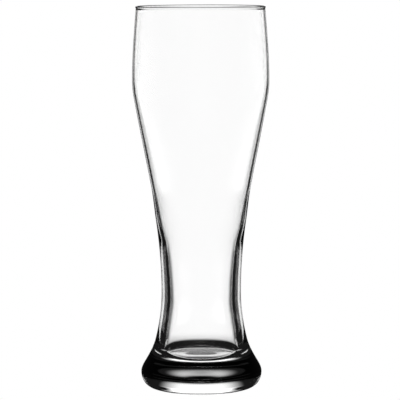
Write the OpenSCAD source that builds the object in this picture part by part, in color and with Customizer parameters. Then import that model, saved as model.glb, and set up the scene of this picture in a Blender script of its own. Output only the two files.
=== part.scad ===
// Weizen glass: a tall wheat beer glass, pressed and blown from one gob of clear
// glass. A narrow stem opens into a slender cone and a full bulge that draws in
// again to the rim. The wall is thin at the top and thickens down a funnel into
// the stem, and the solid base stands on a narrow ring round a shallow hollow.
// All sizes are in millimetres and all leans in degrees from upright.

/* [Rim] */
// Height of the glass, from the table to the top of the rim
height = 240; // [225:1:260]
// Outer diameter at the rim
rim_d = 81.4; // [77:0.1:84]
// How far the wall leans inwards at the rim
rim_lean = 4.6; // [1:0.1:7]
// Thickness of the wall just below the lip
rim_t = 1.35; // [1.1:0.05:2]
// Thickness of the round, fire-polished lip, which is turned out a little
lip_t = 1.25; // [1.1:0.05:2.2]
// Height of the lip's round top above its widest place
lip_h = 0.95; // [0.6:0.05:1.5]
// How far the lip stands out from the wall
lip_proud = 0.35; // [0:0.01:0.4]
// Height over which the lip runs out into the outside of the wall
lip_fade = 0.5; // [0.4:0.1:3]
// Height over which the lip runs out into the inside of the wall
lip_fade_in = 1.5; // [0.8:0.1:4]

/* [Bulge] */
// Outer diameter at the widest point
bulge_d = 85.9; // [82:0.1:92]
// Height of the widest point
bulge_z = 193; // [188:0.5:202]
// Wall thickness at the widest point
bulge_t = 1.5; // [1:0.1:2.6]
// Outer diameter where the bulge runs into the cone
shoulder_d = 82.9; // [79:0.1:84]
// Height where the bulge runs into the cone
shoulder_z = 180; // [172:0.5:184]
// How far the wall leans out at the top of the cone
shoulder_lean = 10.3; // [6:0.1:14]

/* [Cone] */
// Outer diameter low on the cone
neck_d = 62.7; // [60:0.1:66]
// Height of that place on the cone
neck_z = 127.2; // [122:0.1:134]
// How far the wall leans out there
neck_lean = 10.7; // [7:0.1:14]
// Wall thickness there
neck_t = 1.9; // [1.3:0.1:3]

/* [Stem] */
// Outer diameter at the top of the stem
stem_d = 56.9; // [55:0.1:59]
// Height of the top of the stem
stem_z = 106; // [100:0.5:110]
// How far the wall leans out at the top of the stem
stem_lean = 8.3; // [5:0.1:11]
// Outer diameter at the waist, the narrowest point
waist_d = 50; // [47:0.1:52.5]
// Height of the waist
waist_z = 60.4; // [54:0.1:68]

/* [Base] */
// Outer diameter at the widest point of the base
base_d = 76.2; // [72:0.1:84]
// Height of the widest point of the base
base_z = 9.7; // [8:0.1:12]
// Outer diameter at the ankle, half way up the flare of the base
ankle_d = 69; // [66:0.1:71]
// Height of the ankle
ankle_z = 18; // [15:0.1:21]
// How far the wall leans inwards at the ankle
ankle_lean = 30; // [22:0.5:38]
// Outer diameter at the top of the flare
flare_d = 58.1; // [55:0.1:61]
// Height of the top of the flare
flare_z = 30; // [26:0.1:34]
// How far the wall leans inwards at the top of the flare
flare_lean = 14.5; // [9:0.5:20]
// Outer diameter of the ring that the glass stands on
ring_d = 60.9; // [56:0.1:66]
// Width of the ring that the glass stands on
ring_w = 2.9; // [1:0.1:5]
// Height of the hollow under the base
hollow_h = 1.7; // [0.8:0.1:5]

/* [Inside] */
// Thickness of the solid glass between the table and the edge of the drinking space's floor
floor_z = 17.9; // [14:0.1:21]
// How far the middle of that floor stands above its edge
floor_rise = 0.64; // [0:0.02:1.2]
// Inner diameter just above the floor
floor_d = 47.6; // [44:0.1:49]
// Width of the rounded corner round the floor
corner_w = 3.4; // [2:0.1:6]
// Height of the rounded corner round the floor
corner_h = 5.2; // [3:0.1:7]
// How far the inside leans inwards above that corner
floor_lean = 10.5; // [6:0.5:16]
// Inner diameter low in the stem
low_d = 44; // [42:0.1:46]
// Height of that place low in the stem
low_z = 36; // [33:0.5:40]
// How far the inside leans inwards there
low_lean = 9; // [5:0.5:13]
// Inner diameter at the narrowest place of the drinking space
well_d = 39.4; // [37:0.1:41]
// Height of that narrowest place
well_z = 56; // [52:0.5:61]
// Inner diameter where the stem's wall is nearly full
thick_d = 41.5; // [40:0.1:43]
// Height where the stem's wall is nearly full
thick_z = 78; // [75:0.5:81]
// How far the inside leans out there
thick_lean = 5; // [3:0.1:9]
// Inner diameter of the funnel, half way down the thickening of the wall
funnel_d = 46.3; // [45:0.1:48]
// Height half way down that thickening
funnel_z = 94; // [91:0.5:97]
// How far the inside leans out there
funnel_lean = 13; // [9:0.5:17]

/* [Hidden] */
$fn = 144;
steps = 8; // points along each span of an outline
arc_steps = 6; // points along each rounded corner

// The hollow under the base, each [share of its radius, share of its height, slope in those shares]
hollow_shares = [[1, 0, -1.4], [0.75, 0.3, -0.9], [0.4, 0.56, -1.1], [0, 1, 0]];

// Stations of the outside, each [radius, height, slope of the wall]
lip_z = height - lip_h;
wall_r = rim_d / 2 - lip_proud;
lip = [rim_d / 2, lip_z, 0];
rim = [wall_r + lip_fade * tan(rim_lean), lip_z - lip_fade, -tan(rim_lean)];
bulge = [bulge_d / 2, bulge_z, 0];
shoulder = [shoulder_d / 2, shoulder_z, tan(shoulder_lean)];
neck = [neck_d / 2, neck_z, tan(neck_lean)];
stem = [stem_d / 2, stem_z, tan(stem_lean)];
waist = [waist_d / 2, waist_z, 0];
flare = [flare_d / 2, flare_z, -tan(flare_lean)];
ankle = [ankle_d / 2, ankle_z, -tan(ankle_lean)];
belly = [base_d / 2, base_z, 0];
outside = [lip, rim, bulge, shoulder, neck, stem, waist, flare, ankle, belly];

// Stations of the inside, each [radius, height, slope of the wall]
inner_lip = [rim_d / 2 - lip_t, lip_z, 0];
inner_rim = [wall_r - rim_t + lip_fade_in * tan(rim_lean), lip_z - lip_fade_in, -tan(rim_lean)];
inner_bulge = [bulge_d / 2 - bulge_t, bulge_z, 0];
inner_shoulder = [shoulder_d / 2 - bulge_t, shoulder_z, tan(shoulder_lean)];
inner_neck = [neck_d / 2 - neck_t, neck_z, tan(neck_lean)];
inner_funnel = [funnel_d / 2, funnel_z, tan(funnel_lean)];
inner_thick = [thick_d / 2, thick_z, tan(thick_lean)];
inner_well = [well_d / 2, well_z, 0];
inner_low = [low_d / 2, low_z, -tan(low_lean)];
corner_centre = [floor_d / 2 - corner_w, floor_z + corner_h];
// where the rounded corner leans as far as the wall above it
corner_end = atan(corner_h / corner_w * tan(floor_lean));
inner_floor = [corner_centre[0] + corner_w * cos(corner_end),
    corner_centre[1] + corner_h * sin(corner_end), -tan(floor_lean)];
inside = [inner_floor, inner_low, inner_well, inner_thick, inner_funnel, inner_neck,
    inner_shoulder, inner_bulge, inner_rim, inner_lip];

// Stations of the hollow, each [height, radius, slope of its roof]
hollow_r = ring_d / 2 - ring_w;
hollow = [for (s = hollow_shares) [s[1] * hollow_h, s[0] * hollow_r, s[2] * hollow_h / hollow_r]];

// A cubic Hermite curve from one station to the next, without its last point
function span(a, b) = [
    for (i = [0 : steps - 1])
        let (t = i / steps, rise = b[1] - a[1])
        [
            a[0] * (2 * t ^ 3 - 3 * t ^ 2 + 1) + a[2] * rise * (t ^ 3 - 2 * t ^ 2 + t)
                + b[0] * (3 * t ^ 2 - 2 * t ^ 3) + b[2] * rise * (t ^ 3 - t ^ 2),
            a[1] + rise * t
        ]
];

// The spans through a whole list of stations
function wall(stations) = [
    for (i = [0 : len(stations) - 2])
        each span(stations[i], stations[i + 1])
];

// A part of an ellipse round a centre, from one angle to another, without its last point
function corner(centre, width, tall, from, to) = [
    for (i = [0 : arc_steps - 1])
        let (angle = from + (to - from) * i / arc_steps)
        [centre[0] + width * cos(angle), centre[1] + tall * sin(angle)]
];

// The gently domed floor of the drinking space, from the axis out to its corner
function dome(radius) = [
    for (i = [0 : arc_steps - 1])
        let (t = i / arc_steps)
        [radius * t, floor_z + floor_rise * (1 - t ^ 2)]
];

// The half section of the glass, on the right of its axis
module section() {
    polygon([
        each dome(corner_centre[0]),
        each corner(corner_centre, corner_w, corner_h, -90, corner_end),
        each wall(inside),
        each corner([rim_d / 2 - lip_t / 2, lip_z], lip_t / 2, lip_h, 180, 0),
        each wall(outside),
        each corner([ring_d / 2, base_z], base_d / 2 - ring_d / 2, base_z, 0, -90),
        [ring_d / 2, 0],
        each [for (p = wall(hollow)) [p[1], p[0]]],
        [0, hollow_h]
    ]);
}

// The whole glass, one body of revolution
module glass() {
    color([0.84, 0.92, 0.93, 0.45])
        rotate_extrude()
            section();
}

glass();
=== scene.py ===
import math
import bpy
import numpy as np
from mathutils import Matrix


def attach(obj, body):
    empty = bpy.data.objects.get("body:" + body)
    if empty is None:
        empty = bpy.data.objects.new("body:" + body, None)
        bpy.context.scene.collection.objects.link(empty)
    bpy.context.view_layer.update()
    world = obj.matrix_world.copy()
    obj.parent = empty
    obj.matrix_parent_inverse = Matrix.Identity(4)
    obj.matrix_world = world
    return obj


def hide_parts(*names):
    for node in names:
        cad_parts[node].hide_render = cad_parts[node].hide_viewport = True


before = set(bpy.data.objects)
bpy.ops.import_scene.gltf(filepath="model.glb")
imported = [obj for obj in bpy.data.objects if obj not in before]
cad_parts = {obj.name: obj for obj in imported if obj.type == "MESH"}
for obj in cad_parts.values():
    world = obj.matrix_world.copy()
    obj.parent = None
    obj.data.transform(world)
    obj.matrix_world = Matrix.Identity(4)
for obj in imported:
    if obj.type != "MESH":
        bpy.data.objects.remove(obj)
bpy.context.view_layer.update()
print("frame loaded")

perMetre = 1000  # the sizes of the glass are in millimetres and the scene is in metres


def slope(lean):
    # how fast the radius grows with height, where the wall leans out by this many degrees
    return math.tan(math.radians(lean))


def span(a, b, steps):
    # cubic Hermite curve from station a to station b, each a radius, height and slope: its height runs
    # evenly and its radius keeps both radii and both slopes; the last point is left to the next span
    t = np.arange(steps) / steps
    rise = b[1] - a[1]
    radius = (a[0] * (2 * t ** 3 - 3 * t ** 2 + 1) + a[2] * rise * (t ** 3 - 2 * t ** 2 + t)
              + b[0] * (3 * t ** 2 - 2 * t ** 3) + b[2] * rise * (t ** 3 - t ** 2))
    return np.stack([radius, a[1] + rise * t], 1)


def wall(stations, steps):
    # the spans through a whole list of stations, end to end
    return np.concatenate([span(a, b, steps) for a, b in zip(stations[:-1], stations[1:])])


def corner(centre, width, tall, start, end, steps):
    # part of an ellipse: the centre plus width times the cosine and tall times the sine of the angle,
    # which runs in degrees from start to end and leaves out its last point
    angle = np.radians(start + (end - start) * np.arange(steps) / steps)
    return np.stack([centre[0] + width * np.cos(angle), centre[1] + tall * np.sin(angle)], 1)


def revolve(name, profile, turns):
    # surface of revolution: x is r times the cosine of the angle, y is r times its sine and z stays, for
    # each point of the profile and each angle round the axis; its first and last points are the poles
    angle = np.arange(turns) / turns * 2 * np.pi
    r, z = profile[1:-1, 0], profile[1:-1, 1]
    rings = [np.outer(r, np.cos(angle)), np.outer(r, np.sin(angle)), np.repeat(z[:, None], turns, 1)]
    grid = np.stack(rings, 2)
    points = np.concatenate([grid.reshape(-1, 3), [[0, 0, profile[0, 1]], [0, 0, profile[-1, 1]]]])
    # four-sided faces join each ring of points to the next, and a fan of triangles closes each pole
    rows = np.arange(len(r) - 1)[:, None] * turns
    here = np.arange(turns)[None]
    after = (here + 1) % turns
    quads = np.stack([rows + here, rows + after, rows + turns + after, rows + turns + here], 2).reshape(-1, 4)
    pole, lastRow = len(r) * turns, (len(r) - 1) * turns
    fans = np.concatenate([
        np.stack([np.full(turns, pole), after[0], here[0]], 1),
        np.stack([np.full(turns, pole + 1), lastRow + here[0], lastRow + after[0]], 1),
    ])
    # each face's points run the other way round, so that it faces out of the glass
    mesh = bpy.data.meshes.new(name)
    mesh.from_pydata(points.tolist(), [], quads[:, ::-1].tolist() + fans[:, ::-1].tolist())
    mesh.polygons.foreach_set("use_smooth", np.ones(len(mesh.polygons), bool))
    mesh.update()
    piece = bpy.data.objects.new(name, mesh)
    bpy.context.scene.collection.objects.link(piece)
    return piece


def linear(hexColour):
    # sRGB hex to the linear colour that Blender's sockets take, by the two parts of the sRGB curve
    parts = np.array([int(hexColour[i:i + 2], 16) / 255 for i in (1, 3, 5)])
    values = np.where(parts <= 0.04045, parts / 12.92, ((parts + 0.055) / 1.055) ** 2.4)
    return (*values.tolist(), 1)


def addNode(tree, kind, inputs=None, **settings):
    # one node with its settings, in its tree; each input is a socket to link or a value to set
    node = tree.nodes.new(kind)
    for key, value in settings.items():
        setattr(node, key, value)
    for key, value in (inputs or {}).items():
        if isinstance(value, bpy.types.NodeSocket):
            tree.links.new(value, node.inputs[key])
        else:
            node.inputs[key].default_value = value
    return node


# Sizes of the glass in millimetres: D is a diameter, Z a height from the table, T the wall's thickness, W
# and H the width and height of a detail, and Lean the wall's lean in degrees from upright
glass = {
    "height": 240, "rimD": 81.4, "rimLean": 4.6, "rimT": 1.35,
    "lipT": 1.25, "lipH": 0.95, "lipProud": 0.35, "lipFade": 0.5, "lipFadeIn": 1.5,
    "bulgeD": 85.9, "bulgeZ": 193, "bulgeT": 1.5,
    "shoulderD": 82.9, "shoulderZ": 180, "shoulderLean": 10.3,
    "neckD": 62.7, "neckZ": 127.2, "neckLean": 10.7, "neckT": 1.9,
    "stemD": 56.9, "stemZ": 106, "stemLean": 8.3, "waistD": 50, "waistZ": 60.4,
    "flareD": 58.1, "flareZ": 30, "flareLean": 14.5, "ankleD": 69, "ankleZ": 18, "ankleLean": 30,
    "baseD": 76.2, "baseZ": 9.7, "ringD": 60.9, "ringW": 2.9,
    # the hollow under the base: share of its radius, share of its height, slope in those shares
    "hollowH": 1.7, "hollow": [(1, 0, -1.4), (0.75, 0.3, -0.9), (0.4, 0.56, -1.1), (0, 1, 0)],
    "floorZ": 17.9, "floorRise": 0.64, "floorD": 47.6, "floorLean": 10.5, "cornerW": 3.4, "cornerH": 5.2,
    # the drinking space in the stem, from the bottom up: diameter, height, lean
    "inner": [(44, 36, -9), (39.4, 56, 0), (41.5, 78, 5), (46.3, 94, 13)],
    # points along each span of a wall and along each rounded part, and turns round the axis
    "steps": 14, "floorSteps": 12, "cornerSteps": 14, "lipSteps": 12, "footSteps": 20, "turns": 224,
}


def glassProfile(g):
    # half section: from the axis on the floor up the inside, round the lip, down the outside and back
    # under the base
    steps = g["steps"]
    lipZ = g["height"] - g["lipH"]
    lipR = g["rimD"] / 2
    wallR = lipR - g["lipProud"]
    rimSlope, shoulderSlope, neckSlope = slope(g["rimLean"]), slope(g["shoulderLean"]), slope(g["neckLean"])
    # stations of the outside, from the lip down: radius, height, slope
    outside = [
        (lipR, lipZ, 0),
        (wallR + g["lipFade"] * rimSlope, lipZ - g["lipFade"], -rimSlope),
        (g["bulgeD"] / 2, g["bulgeZ"], 0),
        (g["shoulderD"] / 2, g["shoulderZ"], shoulderSlope),
        (g["neckD"] / 2, g["neckZ"], neckSlope),
        (g["stemD"] / 2, g["stemZ"], slope(g["stemLean"])),
        (g["waistD"] / 2, g["waistZ"], 0),
        (g["flareD"] / 2, g["flareZ"], -slope(g["flareLean"])),
        (g["ankleD"] / 2, g["ankleZ"], -slope(g["ankleLean"])),
        (g["baseD"] / 2, g["baseZ"], 0),
    ]
    # stations of the inside, from the floor up: the floor's rounded corner ends where it leans as far as
    # the wall above it
    floorSlope = slope(g["floorLean"])
    cornerR, cornerZ = g["floorD"] / 2 - g["cornerW"], g["floorZ"] + g["cornerH"]
    end = math.atan(g["cornerH"] / g["cornerW"] * floorSlope)
    inside = [
        (cornerR + g["cornerW"] * math.cos(end), cornerZ + g["cornerH"] * math.sin(end), -floorSlope),
        *[(across / 2, z, slope(lean)) for across, z, lean in g["inner"]],
        (g["neckD"] / 2 - g["neckT"], g["neckZ"], neckSlope),
        (g["shoulderD"] / 2 - g["bulgeT"], g["shoulderZ"], shoulderSlope),
        (g["bulgeD"] / 2 - g["bulgeT"], g["bulgeZ"], 0),
        (wallR - g["rimT"] + g["lipFadeIn"] * rimSlope, lipZ - g["lipFadeIn"], -rimSlope),
        (lipR - g["lipT"], lipZ, 0),
    ]
    ringR = g["ringD"] / 2
    hollowR = ringR - g["ringW"]
    # the hollow's stations run by height instead of radius, so their curve's columns are turned round
    hollow = wall([(z * g["hollowH"], r * hollowR, grade * g["hollowH"] / hollowR)
                   for r, z, grade in g["hollow"]], steps)[:, ::-1]
    # the floor's dome: its height falls from the middle with the square of the radius
    share = np.arange(g["floorSteps"]) / g["floorSteps"]
    floor = np.stack([cornerR * share, g["floorZ"] + g["floorRise"] * (1 - share ** 2)], 1)
    return np.concatenate([
        floor,
        corner((cornerR, cornerZ), g["cornerW"], g["cornerH"], -90, math.degrees(end), g["cornerSteps"]),
        wall(inside, steps),
        corner((lipR - g["lipT"] / 2, lipZ), g["lipT"] / 2, g["lipH"], 180, 0, g["lipSteps"]),
        wall(outside, steps),
        corner((ringR, g["baseZ"]), g["baseD"] / 2 - ringR, g["baseZ"], 0, -90, g["footSteps"]),
        [(ringR, 0)],
        hollow,
        [(0, g["hollowH"])],
    ]) / perMetre


# Soda-lime glass, pressed and then fire-polished: clear and colourless with a smooth, bright
# surface, whose heat-softened skin keeps very slight waves that bend the light a little.
clearGlass = {
    "colour": "#fefefe", "ior": 1.52,
    "waveMm": 22, "waveDepthMm": 0.012, "waveDetail": 2, "waveRoughness": 0.4,
}


def glassMaterial(s):
    material = bpy.data.materials.new("fire-polished soda-lime glass")
    material.use_nodes = True
    tree = material.node_tree
    tree.nodes.clear()
    place = addNode(tree, "ShaderNodeTexCoord")
    waves = addNode(tree, "ShaderNodeTexNoise", {
        "Vector": place.outputs["Object"], "Scale": perMetre / s["waveMm"],
        "Detail": s["waveDetail"], "Roughness": s["waveRoughness"]})
    skin = addNode(tree, "ShaderNodeBump", {
        "Height": waves.outputs["Fac"], "Strength": 1, "Distance": s["waveDepthMm"] / perMetre})
    shader = addNode(tree, "ShaderNodeBsdfPrincipled", {
        "Normal": skin.outputs["Normal"], "Base Color": linear(s["colour"]),
        "Roughness": 0, "IOR": s["ior"], "Transmission Weight": 1})
    addNode(tree, "ShaderNodeOutputMaterial", {"Surface": shader.outputs["BSDF"]})
    return material


body = revolve("glassBody", glassProfile(glass), glass["turns"])
body.data.materials.append(glassMaterial(clearGlass))
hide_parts("glass")
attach(body, "root")
print("glass revolved")

# The studio: a bright soft panel behind the glass in a dim room, brightest in a level band towards its
# sides, with black cards beside it. The white sweep stands round the cards to just above the level, lies
# on the table and shows steeply below on every side. Light that only passes through the glass finds all
# of this, and a panel with softer sides above the level. Light mirrored off the outside finds the middle
# of the panel, and light turned back inside the glass finds a little more, with a dim wing beyond a gap.
# Angles are in degrees, azimuth 0 is straight behind the glass and elevation 0 is level, and each edge
# fades over its second angle both ways.
studio = {
    "colour": "#ffffff", "panel": 1.16, "room": 0.01, "sweep": 1.05, "rise": 0.85, "wing": 0.8,
    "edges": {
        "panelSide": (22, 6), "panelWideSide": (24, 12), "panelStep": (2, 2),
        "panelTop": (22.5, 9.3), "panelFoot": (-28, 14), "mirroredSide": (5, 4),
        "innerSide": (18, 5), "innerTop": (27.8, 8.5),
        "wingNearSide": (25, 3), "wingFarSide": (38, 5), "wingFoot": (-3, 1.5), "wingTop": (13, 4),
        "riseSide": (6.5, 5), "riseLowSide": (9, 3), "riseTop": (5, 3),
        "riseFoot": (-5.5, 1.2), "riseLowFoot": (-8, 3), "cardSide": (64, 4), "aroundTop": (5, 2),
        "tableSide": (26, 2), "tableEdge": (-18, 2), "tableNearEdge": (-60, 5),
    },
}


def studioEdges(tree, edges):
    # for each edge, 1 before it and 0 past it: names ending in Side take the azimuth to either side, and
    # the others the elevation
    place = addNode(tree, "ShaderNodeTexCoord")
    toward = addNode(tree, "ShaderNodeSeparateXYZ", {"Vector": place.outputs["Generated"]}).outputs
    turn = addNode(tree, "ShaderNodeMath", {0: toward["X"], 1: toward["Y"]}, operation="ARCTAN2")
    aside = addNode(tree, "ShaderNodeMath", {0: turn.outputs[0]}, operation="ABSOLUTE")
    climb = addNode(tree, "ShaderNodeMath", {0: toward["Z"]}, operation="ARCSINE")
    azimuth = addNode(tree, "ShaderNodeMath", {0: aside.outputs[0]}, operation="DEGREES")
    elevation = addNode(tree, "ShaderNodeMath", {0: climb.outputs[0]}, operation="DEGREES")
    within = {}
    for edge, (middle, fade) in edges.items():
        angle = azimuth if edge.endswith("Side") else elevation
        within[edge] = addNode(tree, "ShaderNodeMapRange", {
            "Value": angle.outputs[0], "From Min": middle - fade, "From Max": middle + fade,
            "To Min": 1, "To Max": 0,
        }, interpolation_type="SMOOTHSTEP").outputs["Result"]
    return within


def panelWidth(tree, s, within, straight, outside):
    # how much of the panel is found to either side, by light that passes straight through, is mirrored
    # off the outside or is turned back inside
    through = addNode(tree, "ShaderNodeMix", {
        "Factor": within["panelStep"], "A": within["panelWideSide"], "B": within["panelSide"]})
    wing = addNode(tree, "ShaderNodeMath", {0: within["wingFarSide"], 1: within["wingNearSide"]},
                   operation="SUBTRACT")
    faint = addNode(tree, "ShaderNodeMath", {0: wing.outputs[0], 1: s["wing"], 2: within["innerSide"]},
                    operation="MULTIPLY_ADD")
    upper = addNode(tree, "ShaderNodeMix", {
        "Factor": within["wingTop"], "A": within["panelWideSide"], "B": faint.outputs[0]})
    inner = addNode(tree, "ShaderNodeMix", {
        "Factor": within["wingFoot"], "A": upper.outputs["Result"], "B": within["innerSide"]})
    bounced = addNode(tree, "ShaderNodeMix", {
        "Factor": outside, "A": inner.outputs["Result"], "B": within["mirroredSide"]})
    sides = addNode(tree, "ShaderNodeMix", {
        "Factor": straight, "A": bounced.outputs["Result"], "B": through.outputs["Result"]})
    return sides.outputs["Result"]


def panelLight(tree, s, within, straight, outside):
    # the panel between its foot, its top and its sides, with the level band that light going straight
    # through finds brighter, over the dim room
    sides = panelWidth(tree, s, within, straight, outside)
    top = addNode(tree, "ShaderNodeMix", {
        "Factor": straight, "A": within["innerTop"], "B": within["panelTop"]})
    column = addNode(tree, "ShaderNodeMath", {0: top.outputs["Result"], 1: within["panelFoot"]},
                     operation="SUBTRACT")
    panel = addNode(tree, "ShaderNodeMath", {0: sides, 1: column.outputs[0]}, operation="MULTIPLY")
    under = addNode(tree, "ShaderNodeMix", {
        "Factor": within["riseLowSide"], "A": within["riseFoot"], "B": within["riseLowFoot"]})
    level = addNode(tree, "ShaderNodeMath", {0: within["riseTop"], 1: under.outputs["Result"]},
                    operation="SUBTRACT")
    off = addNode(tree, "ShaderNodeMath", {0: straight, 1: within["riseSide"]},
                  operation="SUBTRACT", use_clamp=True)
    raised = addNode(tree, "ShaderNodeMath", {0: level.outputs[0], 1: off.outputs[0]}, operation="MULTIPLY")
    power = addNode(tree, "ShaderNodeMath", {0: raised.outputs[0], 1: s["rise"], 2: s["panel"]},
                    operation="MULTIPLY_ADD")
    lit = addNode(tree, "ShaderNodeMath", {0: panel.outputs[0], 1: power.outputs[0], 2: s["room"]},
                  operation="MULTIPLY_ADD")
    return lit.outputs[0]


def sweepLight(tree, s, within, straight):
    # the white sweep on the table, steeply below and round the cards, for light going straight through
    table = addNode(tree, "ShaderNodeMath", {0: within["tableEdge"], 1: within["tableSide"]},
                    operation="SUBTRACT", use_clamp=True)
    below = addNode(tree, "ShaderNodeMath", {0: table.outputs[0], 1: within["tableNearEdge"]},
                    operation="MAXIMUM")
    around = addNode(tree, "ShaderNodeMath", {0: within["aroundTop"], 1: within["cardSide"]},
                     operation="SUBTRACT", use_clamp=True)
    sweep = addNode(tree, "ShaderNodeMath", {0: below.outputs[0], 1: around.outputs[0]}, operation="MAXIMUM")
    strong = addNode(tree, "ShaderNodeMath", {0: sweep.outputs[0], 1: s["sweep"]}, operation="MULTIPLY")
    found = addNode(tree, "ShaderNodeMath", {0: strong.outputs[0], 1: straight}, operation="MULTIPLY")
    return found.outputs[0]


def studioWorld(s):
    world = bpy.data.worlds.new("studio")
    world.use_nodes = True
    tree = world.node_tree
    tree.nodes.clear()
    within = studioEdges(tree, s["edges"])
    # light never mirrored goes straight through, and light never let in is mirrored off the outside
    path = addNode(tree, "ShaderNodeLightPath").outputs
    once = 0.5  # a count of bounces below this is none
    straight = addNode(tree, "ShaderNodeMath", {0: path["Glossy Depth"], 1: once}, operation="LESS_THAN")
    outside = addNode(tree, "ShaderNodeMath", {0: path["Transmission Depth"], 1: once}, operation="LESS_THAN")
    lit = panelLight(tree, s, within, straight.outputs[0], outside.outputs[0])
    found = sweepLight(tree, s, within, straight.outputs[0])
    glow = addNode(tree, "ShaderNodeMath", {0: lit, 1: found}, operation="MAXIMUM")
    # the camera itself sees plain white behind the glass
    strength = addNode(tree, "ShaderNodeMix", {"Factor": path["Is Camera Ray"], "A": glow.outputs[0], "B": 1})
    light = addNode(tree, "ShaderNodeBackground", {
        "Color": linear(s["colour"]), "Strength": strength.outputs["Result"]})
    addNode(tree, "ShaderNodeOutputWorld", {"Surface": light.outputs[0]})
    bpy.context.scene.world = world


# The plain white floor, in metres: it lies a hair under the glass, so that the two never touch
sweepFloor = {"colour": "#ffffff", "half": 3, "drop": 0.0005}


def studioFloor(s):
    # one square, white to the camera and clear to the light that has gone through the glass
    half = s["half"]
    mesh = bpy.data.meshes.new("floor")
    corners = [(-half, -half, 0), (half, -half, 0), (half, half, 0), (-half, half, 0)]
    mesh.from_pydata(corners, [], [(0, 1, 2, 3)])
    floor = bpy.data.objects.new("floor", mesh)
    bpy.context.scene.collection.objects.link(floor)
    floor.location.z = -s["drop"]
    material = bpy.data.materials.new("white sweep")
    material.use_nodes = True
    tree = material.node_tree
    tree.nodes.clear()
    path = addNode(tree, "ShaderNodeLightPath").outputs
    white = addNode(tree, "ShaderNodeEmission", {"Color": linear(s["colour"])})
    clear = addNode(tree, "ShaderNodeBsdfTransparent")
    mixed = addNode(tree, "ShaderNodeMixShader", {
        0: path["Is Camera Ray"], 1: clear.outputs[0], 2: white.outputs[0]})
    addNode(tree, "ShaderNodeOutputMaterial", {"Surface": mixed.outputs[0]})
    mesh.materials.append(material)


studioWorld(studio)
studioFloor(sweepFloor)
print("studio set")

# The photograph's view, from far back and a little over the rim, looking slightly down: places in metres,
# turns in degrees, lens and sensor in millimetres and a shift of one pixel of the frame's 400
view = {
    "back": 1.44676, "up": 0.27028, "tilt": 5.996, "roll": -0.15,
    "lens": 208.2, "sensor": 36, "shift": -1 / 400, "farthest": 50,
}


def photoCamera(s):
    lens = bpy.data.cameras.new("camera")
    lens.lens = s["lens"]
    lens.sensor_width = s["sensor"]
    lens.shift_x = s["shift"]
    lens.clip_end = s["farthest"]
    camera = bpy.data.objects.new("camera", lens)
    bpy.context.scene.collection.objects.link(camera)
    level = 90  # unturned, a camera looks straight down
    tilted = Matrix.Rotation(math.radians(level - s["tilt"]), 4, "X")
    rolled = Matrix.Rotation(math.radians(s["roll"]), 4, "Z")
    camera.matrix_world = Matrix.Translation((0, -s["back"], s["up"])) @ tilted @ rolled
    bpy.context.scene.camera = camera


photoCamera(view)
bpy.context.scene.view_settings.view_transform = "Standard"
print("camera set")
